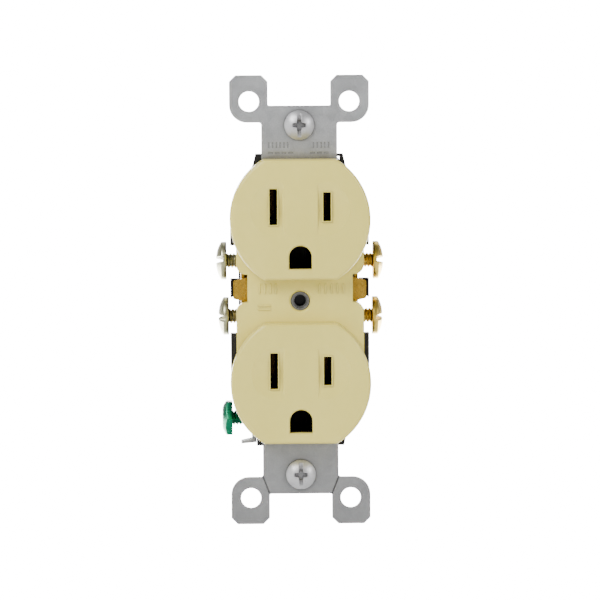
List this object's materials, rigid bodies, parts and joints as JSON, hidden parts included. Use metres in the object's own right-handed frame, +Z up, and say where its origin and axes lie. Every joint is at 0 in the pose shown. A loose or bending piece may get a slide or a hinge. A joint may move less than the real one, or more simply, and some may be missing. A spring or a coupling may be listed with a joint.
{
  "type": "duplex wall outlet",
  "caption": "Flush duplex wall outlet with two three-slot grounding faces, steel mounting strap with break-off ears, side screws and push-in wire terminals.",
  "frame": {"origin": "axis of the wall-plate screw hole, in the plane of the strap's front face", "axes": "+X right and +Z up seen from the front, +Y back into the wall"},
  "size_m": [0.0401, 0.0324, 0.1072],
  "materials": {
    "cover_plastic": "satin ivory thermoplastic",
    "case_plastic": "black moulded thermoset",
    "strap_steel": "galvanised steel, dull",
    "strip_brass": "rolled brass",
    "rivet_steel": "zinc-plated steel",
    "silver_screw": "nickel-plated steel, slightly green",
    "brass_screw": "brass-plated steel",
    "green_screw": "green dyed plating",
    "mounting_screw": "zinc-plated steel",
    "fibre": "pressed fibre, matt",
    "spring_steel": "stainless spring strip"
  },
  "bodies": {
    "outlet": {"face_cover": "cover_plastic", "back_body": "case_plastic", "mounting_strap": "strap_steel", "neutral_bus": "strip_brass", "hot_bus": "strip_brass", "ground_contact_upper": "strip_brass", "ground_contact_lower": "strip_brass", "ground_rivet_upper": "strip_brass", "ground_rivet_lower": "strip_brass", "body_rivet_upper": "rivet_steel", "body_rivet_lower": "rivet_steel", "neutral_wire_clip_upper": "spring_steel", "neutral_wire_clip_lower": "spring_steel", "hot_wire_clip_upper": "spring_steel", "hot_wire_clip_lower": "spring_steel"},
    "neutral_screw_upper_body": {"neutral_screw_upper": "silver_screw"},
    "neutral_screw_lower_body": {"neutral_screw_lower": "silver_screw"},
    "hot_screw_upper_body": {"hot_screw_upper": "brass_screw"},
    "hot_screw_lower_body": {"hot_screw_lower": "brass_screw"},
    "ground_screw_body": {"ground_screw": "green_screw"},
    "mounting_screw_upper_body": {"mounting_screw_upper": "mounting_screw"},
    "mounting_screw_lower_body": {"mounting_screw_lower": "mounting_screw"},
    "screw_retainer_upper_body": {"screw_retainer_upper": "fibre"},
    "screw_retainer_lower_body": {"screw_retainer_lower": "fibre"}
  },
  "joints": [
    {"name": "neutral_screw_drive_upper", "type": "slide", "parent": "outlet", "child": "neutral_screw_upper_body", "axis": [-1, 0, 0], "range_m": [-0.00335, 0.00295]},
    {"name": "neutral_screw_drive_lower", "type": "slide", "parent": "outlet", "child": "neutral_screw_lower_body", "axis": [-1, 0, 0], "range_m": [-0.00285, 0.00345]},
    {"name": "hot_screw_drive_upper", "type": "slide", "parent": "outlet", "child": "hot_screw_upper_body", "axis": [1, 0, 0], "range_m": [-0.0037, 0.0026]},
    {"name": "hot_screw_drive_lower", "type": "slide", "parent": "outlet", "child": "hot_screw_lower_body", "axis": [1, 0, 0], "range_m": [-0.0035, 0.0028]},
    {"name": "ground_screw_drive", "type": "slide", "parent": "outlet", "child": "ground_screw_body", "axis": [-1, 0, 0], "range_m": [-0.00465, 0.00105]},
    {"name": "screw_retainer_shift_upper", "type": "slide", "parent": "outlet", "child": "screw_retainer_upper_body", "axis": [1, 0, 0], "range_m": [-0.0015, 0.0015]},
    {"name": "mounting_screw_turn_upper", "type": "hinge", "parent": "screw_retainer_upper_body", "child": "mounting_screw_upper_body", "pos_m": [0, 0, 0.04167], "axis": [0, -1, 0], "continuous": true},
    {"name": "screw_retainer_shift_lower", "type": "slide", "parent": "outlet", "child": "screw_retainer_lower_body", "axis": [1, 0, 0], "range_m": [-0.0015, 0.0015]},
    {"name": "mounting_screw_turn_lower", "type": "hinge", "parent": "screw_retainer_lower_body", "child": "mounting_screw_lower_body", "pos_m": [0, 0, -0.04167], "axis": [0, -1, 0], "continuous": true}
  ]
}
